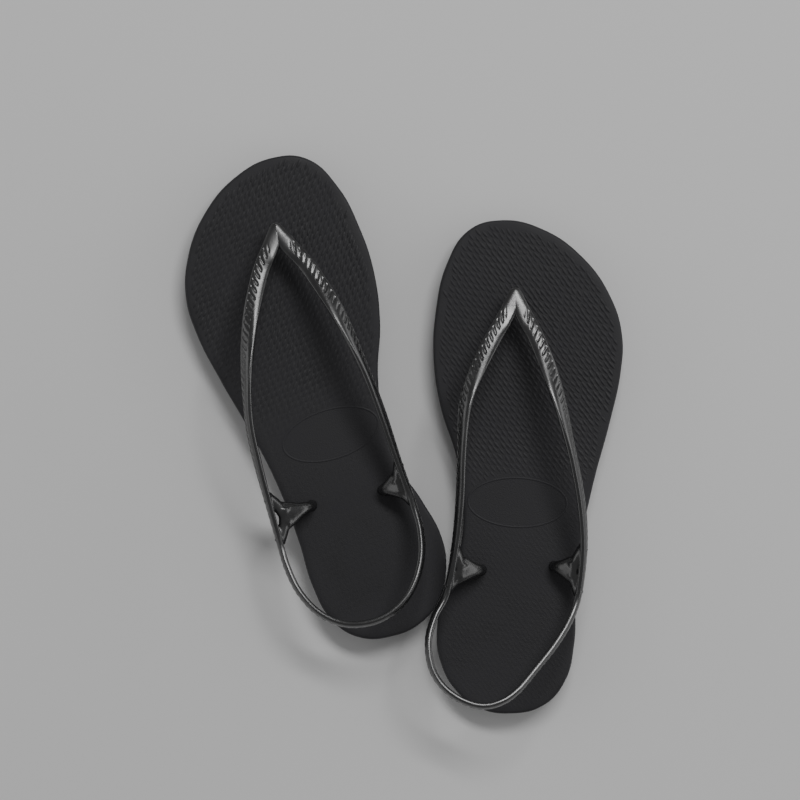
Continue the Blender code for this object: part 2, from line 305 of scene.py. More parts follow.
def tread_wave(y):
    """Points and faces of one tread groove's cutter: a square bar across the sole whose middle line
    is a sine, and whose mouth is a little wider than its floor."""
    x = np.linspace(-GROOVE_REACH, GROOVE_REACH, GROOVE_STATIONS)
    middle = y + GROOVE_SWING * np.sin(x * math.tau / GROOVE_WAVELENGTH)
    mouth = GROOVE_WIDTH / 2 * GROOVE_MOUTH_SHARE
    floor = GROOVE_WIDTH / 2 * GROOVE_FLOOR_SHARE
    section = np.array(((-mouth, -CUT_BELOW), (mouth, -CUT_BELOW), (floor, GROOVE_DEPTH),
                        (-floor, GROOVE_DEPTH)))
    bar = np.broadcast_arrays(x[:, None], middle[:, None] + section[:, 0], section[:, 1])
    points = np.stack(bar, -1)
    rows, columns = points.shape[:2]
    return points.reshape(-1, 3), [grid_quads(rows, columns), end_caps(rows, columns)]


def foam_rubber(name, dark, light, mottle_size, rough_low, rough_high, bump_height):
    """Matt foamed rubber: two close blacks mottled by soft noise, a skin of fine closed cells, and
    roughness that drifts a little from place to place. Sizes are in metres."""
    material = bpy.data.materials.new(name)
    material.use_nodes = True
    nodes, links = material.node_tree.nodes, material.node_tree.links
    shader = nodes["Principled BSDF"]
    shader.inputs["Specular IOR Level"].default_value = 0.4
    place = nodes.new("ShaderNodeTexCoord")
    mottle = nodes.new("ShaderNodeTexNoise")
    mottle.inputs["Scale"].default_value = 1 / mottle_size
    mottle.inputs["Detail"].default_value = 5
    mottle.inputs["Roughness"].default_value = 0.6
    colour = nodes.new("ShaderNodeValToRGB")
    colour.color_ramp.elements[0].position = 0.32
    colour.color_ramp.elements[0].color = (*dark, 1)
    colour.color_ramp.elements[1].position = 0.70
    colour.color_ramp.elements[1].color = (*light, 1)
    drift = nodes.new("ShaderNodeMapRange")
    drift.inputs["From Min"].default_value = 0.3
    drift.inputs["From Max"].default_value = 0.7
    drift.inputs["To Min"].default_value = rough_low
    drift.inputs["To Max"].default_value = rough_high
    cells = nodes.new("ShaderNodeTexVoronoi")
    cells.inputs["Scale"].default_value = 1 / FOAM_CELL
    skin = nodes.new("ShaderNodeTexNoise")
    skin.inputs["Scale"].default_value = 1 / FOAM_SKIN
    skin.inputs["Detail"].default_value = 3
    both = nodes.new("ShaderNodeMath")
    both.operation = "ADD"
    bump = nodes.new("ShaderNodeBump")
    bump.inputs["Strength"].default_value = 0.5
    bump.inputs["Distance"].default_value = bump_height
    for texture in (mottle, cells, skin):
        links.new(place.outputs["Object"], texture.inputs["Vector"])
    links.new(mottle.outputs["Fac"], colour.inputs["Fac"])
    links.new(colour.outputs["Color"], shader.inputs["Base Color"])
    links.new(mottle.outputs["Fac"], drift.inputs["Value"])
    links.new(drift.outputs["Result"], shader.inputs["Roughness"])
    links.new(cells.outputs["Distance"], both.inputs[0])
    links.new(skin.outputs["Fac"], both.inputs[1])
    links.new(both.outputs["Value"], bump.inputs["Height"])
    links.new(bump.outputs["Normal"], shader.inputs["Normal"])
    return material


def groove_places():
    """Where the tread's grooves lie along the sole: one even row under the heel and one under the
    ball of the foot."""
    return [start + GROOVE_PITCH * index for start, count in GROOVE_GROUPS for index in range(count)]


outsole_foam = foam_rubber(
    "outsole_foam", dark=(0.0150, 0.0148, 0.0168), light=(0.0235, 0.0230, 0.0262),
    mottle_size=0.03, rough_low=0.62, rough_high=0.78, bump_height=0.00012,
)
for side in SIDES:
    outsole = sole_slab(f"{side}_outsole_slab", OUTSOLE_PROFILE, outsole_bottom, outsole_top, side,
                        outsole_foam)
    carve(outsole, [tread_wave(y) for y in groove_places()], side)
    wells = [turned_bar(middle, WELL_PROFILE, WELL_SIDES) for middle in STEM_HOLES.values()]
    carve(outsole, wells, side)
    bores = []
    for hole, middle in STEM_HOLES.items():
        radius = STEM_RADIUS[hole] + HOLE_CLEARANCE
        bores.append(turned_bar(middle, [(radius, height) for height in HOLE_CUT], HOLE_SIDES))
    carve(outsole, bores, side)
    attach(outsole, f"{side}_sandal")
    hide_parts(f"{side}_outsole")

# THE FOOTBEDS
# The upper part of each sole: a denser skin of the same foam, bonded on the outsole. Its top is
# moulded with rows of small slanted grains that grip the foot, inside a smooth border, with one
# plain oval panel under the arch.

FOOTBED_PROFILE = (
    (-0.85, 1.0), (-0.5, 1.0), (-0.2, 1.0), (CORE_INSET, 1.0), (1.5, 1.0), (1.0, 0.98), (0.55, 0.92),
    (0.22, 0.83), (0.05, 0.71), (0.0, 0.58), (0.0, 0.22), (0.08, 0.1), (0.3, 0.02), (0.8, 0.0),
    (CORE_INSET, 0.0), (-0.2, 0.0), (-0.5, 0.0), (-0.85, 0.0),
)
FOOTBED_HOLE_BOTTOM = 5.0
FOOTBED_HOLE_RIM = ((0.0, -1.0), (0.04, -0.4), (0.12, -0.12), (0.3, 0.02), (0.3, 3.0))
FOOTBED_HOLE_SIDES = 40
GRAIN_SEED = 7
GRAIN_SLANT = math.radians(-52)
GRAIN_ROW_PITCH = 2.1
GRAIN_PITCH = 4.3
GRAIN_LENGTH = 5.0
GRAIN_WIDTH = 1.65
GRAIN_SIDES = 8
GRAIN_POINTEDNESS = 0.25
GRAIN_CREST_SHARE = 0.60
GRAIN_HEIGHTS = (-0.15, 0.78, 1.0, -0.2)
GRAIN_EDGE_ANGLE = 60
GRAIN_LATTICE = (110, 75)
GRAIN_LATTICE_Y = 120
GRAIN_BOX = ((-55, 0), (55, 250))
GRAIN_BORDER = 3.4
GRAIN_OVAL_GAP = 1.6
GRAIN_STEM_GAP = 4.6
GRAIN_SHIFT_ALONG = 0.5
GRAIN_SHIFT_ASIDE = 0.22
GRAIN_SIZES = (0.88, 1.16)
GRAIN_TURN = 0.12
HEEL_RELIEF = 0.03
RELIEF_GAIN = 0.33
RELIEF_RISE = (95, 170)
OVAL_MIDDLE = (0.8, 105.0)
OVAL_RADII = (24.5, 12.2)
BEAD_STATIONS = 120
BEAD_SIDES = 8
BEAD_HALF_WIDTH = 0.55
BEAD_LIFT = 0.03
BEAD_HEIGHT = 0.15


def grain_middles(seed):
    """The grains' middles: a slanted lattice whose every other row is shifted by half a step, each
    point moved a little at random. Those stay that lie inside the border, outside the oval and clear
    of the stems."""
    rows, steps = GRAIN_LATTICE
    row, step = np.meshgrid(np.arange(-rows, rows + 1), np.arange(-steps, steps + 1), indexing="ij")
    along = (step + 0.5 * (row % 2)) * GRAIN_PITCH
    aside = row * GRAIN_ROW_PITCH
    random = np.random.default_rng(seed)
    along = along + random.uniform(-GRAIN_SHIFT_ALONG, GRAIN_SHIFT_ALONG, along.shape)
    aside = aside + random.uniform(-GRAIN_SHIFT_ASIDE, GRAIN_SHIFT_ASIDE, aside.shape)
    x = along * math.cos(GRAIN_SLANT) - aside * math.sin(GRAIN_SLANT)
    y = along * math.sin(GRAIN_SLANT) + aside * math.cos(GRAIN_SLANT) + GRAIN_LATTICE_Y
    middles = np.stack((x.ravel(), y.ravel()), 1)
    middles = middles[((middles > GRAIN_BOX[0]) & (middles < GRAIN_BOX[1])).all(1)]
    gaps = middles[:, None] - SOLE_EDGE[None]
    nearest = np.sqrt((gaps**2).sum(-1)).argmin(1)
    depth = -(gaps[np.arange(len(middles)), nearest] * SOLE_NORMAL[nearest]).sum(-1)
    oval = (((middles - OVAL_MIDDLE) / (np.array(OVAL_RADII) + GRAIN_OVAL_GAP)) ** 2).sum(-1)
    clear = np.min([np.linalg.norm(middles - hole, axis=1) for hole in STEM_HOLES.values()], 0)
    return middles[(depth > GRAIN_BORDER) & (oval > 1) & (clear > GRAIN_STEM_GAP)]


def grain_field(seed):
    """Points and faces of all the grains. Each is a low dome over a pointed oval: a ring just under
    the surface, a smaller ring near its crest, and a point at its top and one at its bottom. The
    heights are shares of a relief that is faint at the heel and grows towards the toes."""
    middles = grain_middles(seed)
    random = np.random.default_rng(seed + 1)
    count = len(middles)
    size = random.uniform(*GRAIN_SIZES, (count, 1))
    relief = HEEL_RELIEF + RELIEF_GAIN * step_up(*RELIEF_RISE, middles[:, 1:2])
    angle = np.arange(GRAIN_SIDES) * math.tau / GRAIN_SIDES
    pointed = np.sin(angle) * (1 - GRAIN_POINTEDNESS * np.cos(angle) ** 2)
    outline = np.stack((np.cos(angle), pointed), 1)
    half = np.array((GRAIN_LENGTH / 2, GRAIN_WIDTH / 2))
    rings = np.concatenate((outline * half, outline * half * GRAIN_CREST_SHARE, np.zeros((2, 2))))
    height = np.repeat(GRAIN_HEIGHTS, (GRAIN_SIDES, GRAIN_SIDES, 1, 1))
    turn = GRAIN_SLANT + random.uniform(-GRAIN_TURN, GRAIN_TURN, (count, 1))
    x, y = rings[:, 0] * size, rings[:, 1] * size
    px = middles[:, :1] + x * np.cos(turn) - y * np.sin(turn)
    py = middles[:, 1:] + x * np.sin(turn) + y * np.cos(turn)
    points = np.stack((px, py, sole_top(py) + height * relief), -1)
    ring = np.arange(GRAIN_SIDES)
    following = (ring + 1) % GRAIN_SIDES
    top = np.full(GRAIN_SIDES, 2 * GRAIN_SIDES)
    sides = np.stack((ring, following, following + GRAIN_SIDES, ring + GRAIN_SIDES), 1)
    crest = np.stack((ring + GRAIN_SIDES, following + GRAIN_SIDES, top), 1)
    base = np.stack((following, ring, top + 1), 1)
    start = (np.arange(count) * len(rings))[:, None, None]
    faces = [(group[None] + start).reshape(-1, group.shape[1]) for group in (sides, crest, base)]
    return points.reshape(-1, 3), faces


def oval_bead():
    """Points and faces of the raised oval line: a small circle carried round an ellipse, flattened
    to about a quarter of its height."""
    turn = np.arange(BEAD_STATIONS) * math.tau / BEAD_STATIONS
    section = np.arange(BEAD_SIDES) * math.tau / BEAD_SIDES
    out = np.stack((np.cos(turn) * OVAL_RADII[1], np.sin(turn) * OVAL_RADII[0]), 1)
    out /= np.linalg.norm(out, axis=1, keepdims=True)
    line = np.stack((np.cos(turn) * OVAL_RADII[0], np.sin(turn) * OVAL_RADII[1]), 1) + OVAL_MIDDLE
    plan = line[:, None] + out[:, None] * np.cos(section)[None, :, None] * BEAD_HALF_WIDTH
    height = sole_top(plan[..., 1]) + BEAD_LIFT + BEAD_HEIGHT * np.sin(section)
    points = np.concatenate((plan, height[..., None]), -1)
    return points.reshape(-1, 3), [grid_quads(BEAD_STATIONS, BEAD_SIDES, rows_close=True)]


footbed_foam = foam_rubber(
    "footbed_foam", dark=(0.0150, 0.0147, 0.0168), light=(0.0240, 0.0235, 0.0268),
    mottle_size=0.022, rough_low=0.50, rough_high=0.70, bump_height=0.00010,
)
for side in SIDES:
    footbed = sole_slab(f"{side}_footbed_foam", FOOTBED_PROFILE, layer_line, sole_top, side,
                        footbed_foam)
    bores = []
    for hole, middle in STEM_HOLES.items():
        top = sole_top(middle[1])
        radius = STEM_RADIUS[hole] + HOLE_CLEARANCE
        rim = [(radius + wider, top + above) for wider, above in FOOTBED_HOLE_RIM]
        bores.append(turned_bar(middle, ((radius, FOOTBED_HOLE_BOTTOM), *rim), FOOTBED_HOLE_SIDES))
    carve(footbed, bores, side)
    points, faces = gathered([grain_field(GRAIN_SEED), oval_bead()])
    grains = new_piece(f"{side}_footbed_grains", points, faces, side, footbed_foam)
    grains.data.set_sharp_from_angle(angle=math.radians(GRAIN_EDGE_ANGLE))
    for piece in (footbed, grains):
        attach(piece, f"{side}_sandal")
        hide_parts(f"{side}_footbed")

# THE STRAPS
# One moulding of glossy solid rubber goes all the way round: from the point over the toes down one
# side, behind the heel as the sling, and back up the other side. Its outer face has two smooth rims
# with slanted notches moulded between them.

STRAP_WIDTH = 7.5
STRAP_NECK_WIDTH = 5.6
STRAP_THICKNESS = 3.0
STRAP_SPACING = 0.3
STRAP_RELAX_POINTS = 23
CURVE_STEPS = 24
FLEX_Y = 61
NECKING_REACH = 9
POINT_WIDENING = 0.6
POINT_TAPER = (30, 80)
MITRE_LENGTH = 17.0
SEAM_LENGTH = 14
LEVEL_FADE = (10, 22)
POINT_REACH = 40
POINT_SLOPE_STATION = 16
POINT_DRAW_REACH = 12
POINT_ROUNDING = 3.2
POINT_SOFTNESS = 1.9
NOTCH_PITCH = 3.7
NOTCH_DEPTH = 0.45
NOTCH_SLANT = 0.9
NOTCH_SHAPE = ((0, 0), (0.42, 0), (0.86, 1), (0.96, 0), (1, 0))
NOTCH_MIDDLE = 0.27
NOTCH_SIDES = (0.34, 0.47)
NOTCH_START = (8, 12)
NOTCH_LOSS_AT_FLEX = 0.9
NOTCH_LOSS_REACH = 7
SIDE_LEAN = math.radians(70)
SLING_LEAN = math.radians(80)
SIDE_LEAN_RUN = (190, 126)
SLING_LEAN_RUN = (110, 70)
BEND_START = (0, 62, 32)
BEND_END = (0, 48, 32)
UP = (0, 0, 1)
ARM_ROUTES = {
    "right": {
        "inner": ((-4.2, 206.5, 30.5), (-8.5, 197.5, 32.5), (-15, 185, 36.5), (-21, 172, 41),
                  (-25.5, 160, 44.5), (-27.8, 147, 46.5), (-28.3, 126, 45.5), (-28.3, 106, 41),
                  (-29.6, 84, 35)),
        "sling": ((-33, 60, 32), (-38.5, 48, 34), (-41.3, 36, 37.5), (-39.5, 23.5, 42), (-34, 14.5, 45.5),
                  (-25, 8, 47.5), (-14.5, 5, 48), (-5, 7, 47.5), (3.5, 13, 45.5), (12.5, 24, 41.5),
                  (21.5, 36, 37.5), (28.5, 48.5, 34), (32.5, 62, 32)),
        "outer": ((-4.2, 206.5, 30.5), (0.5, 198, 32.5), (6, 188.5, 35.5), (12, 175, 40), (17.6, 160, 44.5),
                  (22.3, 145, 46.5), (28, 124, 45), (32.2, 104, 40.5), (34, 84, 35)),
    },
    "left": {
        "inner": ((-3.2, 208.5, 30.5), (-7.5, 199.5, 32.5), (-12.5, 189, 35.5), (-17.2, 174, 40.5),
                  (-20.8, 160, 44.5), (-23.6, 144, 46.5), (-25.8, 126, 45.5), (-27, 106, 41),
                  (-27.5, 84, 35)),
        "sling": ((-28.5, 60, 32), (-28.3, 48, 33.5), (-25.5, 36, 36.5), (-19.5, 25, 40), (-11, 16.5, 42.5),
                  (0, 11.5, 44), (11.5, 11, 44), (22.5, 14.5, 42.5), (32, 23, 40), (38, 35, 36.5),
                  (40.3, 48, 33.5), (40.3, 62, 32)),
        "outer": ((-3.2, 208.5, 30.5), (3, 201, 32), (11, 190.5, 35), (20.5, 173, 40.5), (28, 155, 45),
                  (33.5, 138, 46.5), (37.5, 120, 44.5), (39, 103, 40.5), (39.8, 85, 35)),
    },
}
SECTION_TOP = (-0.88, -0.80, -0.70, -0.58, -0.45, -0.33, -0.22, -0.15, -0.08, 0.02, 0.15, 0.30, 0.42,
               0.52, 0.59, 0.66, 0.74, 0.81, 0.88)
SECTION_SIDE = ((0.955, 0.50), (0.99, 0.25), (1.0, 0.0), (0.985, -0.38), (0.94, -0.72))
SECTION_BASE = ((0.86, -0.92), (0.5, -1.0), (0.0, -1.0), (-0.5, -1.0), (-0.86, -0.92))
CROWN_POWER = 2.4
RUBBER_PATCH = 0.012
RUBBER_PEEL = 0.0016


def smooth_path(points, spacing):
    """A Catmull-Rom curve through the points, as points an equal distance apart, and how far along
    it each one is."""
    knot = np.array(points, float)
    knot = np.vstack((2 * knot[0] - knot[1], knot, 2 * knot[-1] - knot[-2]))
    t = (np.arange(CURVE_STEPS) / CURVE_STEPS)[None, :, None]
    a, b, c, d = (knot[i:len(knot) - 3 + i, None] for i in range(4))
    curve = 0.5 * (
        2 * b + (c - a) * t + (2 * a - 5 * b + 4 * c - d) * t**2 + (3 * b - a - 3 * c + d) * t**3
    )
    curve = np.vstack((curve.reshape(-1, 3), knot[-2]))
    length = np.concatenate(([0], np.cumsum(np.linalg.norm(np.diff(curve, axis=0), axis=1))))
    distance = np.linspace(0, length[-1], int(round(length[-1] / spacing)) + 1)
    return np.stack([np.interp(distance, length, curve[:, axis]) for axis in range(3)], 1), distance


def strap_line(side):
    """The strap's middle line from the point over the toes, round the heel and back to the point,
    averaged over a short bell-shaped window and carried straight on at its ends for that. With it
    come the directions ahead, across the band from its upper edge to its lower one, and outward from
    its face: the band leans over from flat to steep as it leaves the point and nears the sling."""
    arms = ARM_ROUTES[side]
    route = (*arms["inner"], *arms["sling"], *arms["outer"][::-1])
    line, distance = smooth_path(route, STRAP_SPACING)
    kernel = np.hanning(STRAP_RELAX_POINTS) / np.hanning(STRAP_RELAX_POINTS).sum()
    margin = STRAP_RELAX_POINTS // 2
    before = line[0] + np.arange(-margin, 0)[:, None] * (line[1] - line[0])
    after = line[-1] + np.arange(1, margin + 1)[:, None] * (line[-1] - line[-2])
    padded = np.vstack((before, line, after))
    line = np.stack([np.convolve(padded[:, axis], kernel, "valid") for axis in range(3)], 1)
    ahead = np.gradient(line, axis=0)
    ahead /= np.linalg.norm(ahead, axis=1, keepdims=True)
    aside = np.cross(ahead, UP)
    aside /= np.linalg.norm(aside, axis=1, keepdims=True)
    above = np.cross(aside, ahead)
    y = line[:, 1]
    lean = SIDE_LEAN * step_up(*SIDE_LEAN_RUN, y)
    lean = lean + (SLING_LEAN - SIDE_LEAN) * step_up(*SLING_LEAN_RUN, y)
    across = aside * np.cos(lean)[:, None] - above * np.sin(lean)[:, None]
    outward = aside * np.sin(lean)[:, None] + above * np.cos(lean)[:, None]
    return line, distance, ahead, across, outward


def along_line(distance, values, wanted):
    """Values of a line at the wanted distances along it, in straight steps between its points. Past
    an end they keep that end's value."""
    return np.stack([np.interp(wanted, distance, values[:, axis]) for axis in range(3)], -1)


def strap_section(width, thickness, notched, run):
    """The band's section at each row: across and outward measures of a rounded bar, whose outer face
    is a superellipse's crown. Slanted notches sink into that face between the rims. Down the run,
    which shifts with the place across, each notch is a level stretch, a long ramp down and a quick
    return. notched says how deep they are at each row, from 0 to 1."""
    top = np.array(SECTION_TOP)
    side_x, side_z = np.array(SECTION_SIDE).T
    base_x, base_z = np.array(SECTION_BASE).T
    crown = (1 - np.abs(top) ** CROWN_POWER) ** (1 / CROWN_POWER)
    x = np.concatenate((top, side_x, base_x, -side_x[::-1]))
    z = np.concatenate((crown, side_z, base_z, side_z[::-1]))
    x = x[None] * width[:, None] / 2
    z = z[None] * thickness[:, None] / 2
    inside = np.zeros(x.shape[1])
    inside[:len(top)] = 1 - step_up(*NOTCH_SIDES, np.abs(top - NOTCH_MIDDLE))
    share = (run + NOTCH_SLANT * x) / NOTCH_PITCH % 1
    ramp = np.interp(share, *zip(*NOTCH_SHAPE))
    sunk = NOTCH_DEPTH * inside * notched[:, None] * ramp
    return x, z - sunk


def strap_loop(side):
    """Points and faces of the whole strap: its section carried along the middle line. By the point
    over the toes each strand of the band starts where it meets the plane that halves the two arms, so
    that they mitre. There all strands take the height that the middle line has at their own distance
    ahead of or behind the corner. What lies further ahead of it than the point's rounding is drawn in
    by an exponential, which rounds the tip."""
    line, distance, ahead, across, outward = strap_line(side)
    total = distance[-1]
    y = line[:, 1]
    near = np.minimum(distance, total - distance)
    necking = np.exp(-((y - FLEX_Y) / NECKING_REACH) ** 2)
    width = STRAP_WIDTH - (STRAP_WIDTH - STRAP_NECK_WIDTH) * necking
    width += POINT_WIDENING * (1 - step_up(*POINT_TAPER, near))
    thickness = np.full(len(y), STRAP_THICKNESS)
    loss = NOTCH_LOSS_AT_FLEX * np.exp(-((y - FLEX_Y) / NOTCH_LOSS_REACH) ** 4)
    notched = step_up(*NOTCH_START, near) * (1 - loss)
    x, z = strap_section(width, thickness, notched, near[:, None])
    arm_in, arm_out = ahead[0, :2], -ahead[-1, :2]
    half = math.acos(arm_in @ arm_out / np.linalg.norm(arm_in) / np.linalg.norm(arm_out)) / 2
    skew = -x / math.tan(half) * np.clip(1 - near / MITRE_LENGTH, 0, 1)[:, None]
    skew[distance > total / 2] *= -1
    wanted = distance[:, None] + skew
    before, after = np.minimum(wanted, 0)[..., None], np.maximum(wanted - total, 0)[..., None]
    spine = along_line(distance, line, wanted)
    spine += before * ahead[0] + after * ahead[-1]
    points = (spine + along_line(distance, across, wanted) * x[..., None]
              + along_line(distance, outward, wanted) * z[..., None])
    seam = (points[0] + points[-1]) / 2
    fade = np.clip(1 - near / SEAM_LENGTH, 0, 1)[:, None, None] ** 2
    first_half = (distance < total / 2)[:, None, None]
    points = points + fade * np.where(first_half, seam - points[0], seam - points[-1])
    forward = -(arm_in / np.linalg.norm(arm_in) + arm_out / np.linalg.norm(arm_out))
    forward /= np.linalg.norm(forward)
    lead = (points[..., :2] - line[0, :2]) @ forward
    front = distance < POINT_REACH
    depth = -(line[front, :2] - line[0, :2]) @ forward
    rise = (line[POINT_SLOPE_STATION, 2] - line[0, 2]) / depth[POINT_SLOPE_STATION]
    level = np.interp(-lead, depth, line[front, 2]) - np.maximum(lead, 0) * rise
    points[..., 2] += (level - spine[..., 2]) * (1 - step_up(*LEVEL_FADE, near))[:, None]
    excess = lead - POINT_ROUNDING
    rounded = POINT_ROUNDING + POINT_SOFTNESS * (1 - np.exp(-excess / POINT_SOFTNESS))
    drawn = np.where((lead > POINT_ROUNDING) & (near[:, None] < POINT_DRAW_REACH), rounded, lead)
    points[..., :2] += (drawn - lead)[..., None] * forward
    points = points[:-1]
    rows, columns = points.shape[:2]
    return points.reshape(-1, 3), [grid_quads(rows, columns, rows_close=True)]


def solid_rubber(name):
    """Glossy black solid rubber: a moulded skin with faint orange peel, a little dust-dulled in soft
    patches."""
    material = bpy.data.materials.new(name)
    material.use_nodes = True
    nodes, links = material.node_tree.nodes, material.node_tree.links
    shader = nodes["Principled BSDF"]
    shader.inputs["Specular IOR Level"].default_value = 1.0
    shader.inputs["IOR"].default_value = 1.52
    place = nodes.new("ShaderNodeTexCoord")
    patches = nodes.new("ShaderNodeTexNoise")
    patches.inputs["Scale"].default_value = 1 / RUBBER_PATCH
    patches.inputs["Detail"].default_value = 4
    colour = nodes.new("ShaderNodeValToRGB")
    colour.color_ramp.elements[0].position = 0.3
    colour.color_ramp.elements[0].color = (0.0075, 0.0075, 0.008, 1)
    colour.color_ramp.elements[1].position = 0.75
    colour.color_ramp.elements[1].color = (0.014, 0.014, 0.015, 1)
    gloss = nodes.new("ShaderNodeMapRange")
    gloss.inputs["From Min"].default_value = 0.3
    gloss.inputs["From Max"].default_value = 0.72
    gloss.inputs["To Min"].default_value = 0.22
    gloss.inputs["To Max"].default_value = 0.33
    peel = nodes.new("ShaderNodeTexNoise")
    peel.inputs["Scale"].default_value = 1 / RUBBER_PEEL
    peel.inputs["Detail"].default_value = 2
    bump = nodes.new("ShaderNodeBump")
    bump.inputs["Strength"].default_value = 0.25
    bump.inputs["Distance"].default_value = 0.00012
    links.new(place.outputs["Object"], patches.inputs["Vector"])
    links.new(place.outputs["Object"], peel.inputs["Vector"])
    links.new(patches.outputs["Fac"], colour.inputs["Fac"])
    links.new(colour.outputs["Color"], shader.inputs["Base Color"])
    links.new(patches.outputs["Fac"], gloss.inputs["Value"])
    links.new(gloss.outputs["Result"], shader.inputs["Roughness"])
    links.new(peel.outputs["Fac"], bump.inputs["Height"])
    links.new(bump.outputs["Normal"], shader.inputs["Normal"])
    return material


strap_rubber = solid_rubber("strap_rubber")
for side in SIDES:
    points, faces = strap_loop(side)
    strap = new_piece(f"{side}_strap_loop", points, faces, side, strap_rubber)
    bend_start, bend_end = in_frame((BEND_START, BEND_END), side)
    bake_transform(strap)
    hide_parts(f"{side}_thong_strap", f"{side}_heel_sling")

# THE STEMS
# The same rubber goes down through the sole in three places: the toe post under the strap's point,
# and a forked neck on each side of the heel, with a collar on the footbed. Each stem is drawn
# through its hole and ends in a wide plug that sits in its well.

PLUG_PROFILE = (
    (0.6, 0.9), (3.0, 0.95), (5.5, 1.1), (7.3, 1.5), (8.25, 2.1), (8.5, 2.8), (8.4, 3.6), (8.0, 4.1),
    (7.0, 4.3), (3.0, 4.3),
)
PLUG_SIDES = 48
COLLAR_PROFILE = ((2.2, 0.15), (2.7, 0.3), (2.9, 0.9), (2.7, 1.8), (1.9, 2.7))
COLLAR_SIDES = 32
STEM_SPACING = 0.5
STEM_SIDES = 24
STEM_BOTTOM = 2.5
ALONG_SOLE = (0, 1, 0)
TOE_POST_RISES = (0.5, 5)
TOE_POST_ENDS = ((0.2, -2.0, -4.5), (0.2, -2.4, -0.7))
TOE_POST_RADII = ((0, 2.6, 2.6), (0.7, 2.6, 2.6), (1, 4.8, 3.2))
NECK_STRAIGHT = (-4, 0.2)
NECK_RISE = (0.09, 0.09, 0.46)
NECK_FORK = (0.71, 0.71, 0.88)
NECK_RADII = ((0, 2.1, 2.1), (0.45, 2.1, 2.1), (0.6, 2.7, 2.3), (0.75, 3.9, 2.6), (0.9, 6.2, 2.6),
              (1, 7.4, 2.4))
FRONT_PRONG = {"ahead": 11, "drop": 0.5}
REAR_PRONG = {"behind": 13, "drop": 0.3}
PRONG_OVERLAP = 0.3
PRONG_BEND = 0.5
PRONG_SAG = 1.2
PRONG_RADII = ((0, 3.8, 2.4), (0.5, 3.2, 2.4), (0.8, 3.0, 2.3), (1, 3.4, 2.1))
CORE_REACH = 17
CORE_WIDTH = 6.4
CORE_END_WIDTH = 0.75
CORE_THICKNESS = 2.6
CORE_END_THICKNESS = 0.6
CORE_MELT_FLOOR = 0.02
SKIN_VOXEL = 0.4
FILLET_FACTOR = 0.5
FILLET_ROUNDS = 20


def round_bar(route, radii, level):
    """Points and faces of a bar along a route: ovals square to it, closed at its ends. radii gives,
    at shares of the route's length, the half widths along the level direction and square to it,
    which change evenly between."""
    line, distance = smooth_path(route, STEM_SPACING)
    shares, wide_halves, thick_halves = np.array(radii, float).T
    run = distance / distance[-1]
    long_half = np.interp(run, shares, wide_halves)
    short_half = np.interp(run, shares, thick_halves)
    ahead = np.gradient(line, axis=0)
    ahead /= np.linalg.norm(ahead, axis=1, keepdims=True)
    short = np.cross(ahead, level)
    short /= np.linalg.norm(short, axis=1, keepdims=True)
    wide = np.cross(short, ahead)
    angle = np.arange(STEM_SIDES) * math.tau / STEM_SIDES
    points = (line[:, None] + wide[:, None] * (long_half[:, None] * np.cos(angle))[..., None]
              + short[:, None] * (short_half[:, None] * np.sin(angle))[..., None])
    rows, columns = points.shape[:2]
    return points.reshape(-1, 3), [grid_quads(rows, columns), end_caps(rows, columns)]


def strap_core(side, middle_y, inner_side):
    """A short length of plain band inside the strap, which the prongs melt into: it is thinner than
    the strap, and narrows to its two ends like a half ellipse, so that it only shows as fillets."""
    line, distance, ahead, across, outward = strap_line(side)
    half = distance[-1] / 2
    chosen = (np.abs(line[:, 1] - middle_y) < CORE_REACH) & ((distance < half) == inner_side)
    y = line[chosen, 1]
    melt = np.sqrt(np.clip(1 - ((y - middle_y) / CORE_REACH) ** 2, CORE_MELT_FLOOR, 1))
    width = CORE_WIDTH * (CORE_END_WIDTH + (1 - CORE_END_WIDTH) * melt)
    thickness = CORE_THICKNESS * (CORE_END_THICKNESS + (1 - CORE_END_THICKNESS) * melt)
    x, z = strap_section(width, thickness, y * 0, distance[chosen, None])
    points = (line[chosen, None] + across[chosen, None] * x[..., None]
              + outward[chosen, None] * z[..., None])
    rows, columns = points.shape[:2]
    return points.reshape(-1, 3), [grid_quads(rows, columns), end_caps(rows, columns)]


def arm_point(side, y, inner_side, drop):
    """The point of an arm's middle line at a place along the sole, lowered by drop."""
    line, distance = strap_line(side)[:2]
    half = (distance < distance[-1] / 2) == inner_side
    arm = line[half]
    return arm[np.abs(arm[:, 1] - y).argmin()] - (0, 0, drop)


def toe_post(side):
    """The toe post's shell: a round bar that goes straight up through its hole, then leans a little
    to meet the strap's point and widens into its underside."""
    x, y = STEM_HOLES["toe"]
    corner = np.array(ARM_ROUTES[side]["inner"][0])
    bottom = np.array((x, y, STEM_BOTTOM))
    foot = np.array((x, y, sole_top(y)))
    straight = [foot + (0, 0, above) for above in TOE_POST_RISES]
    ends = [corner + offset for offset in TOE_POST_ENDS]
    return round_bar((bottom, *straight, *ends), TOE_POST_RADII, ALONG_SOLE)


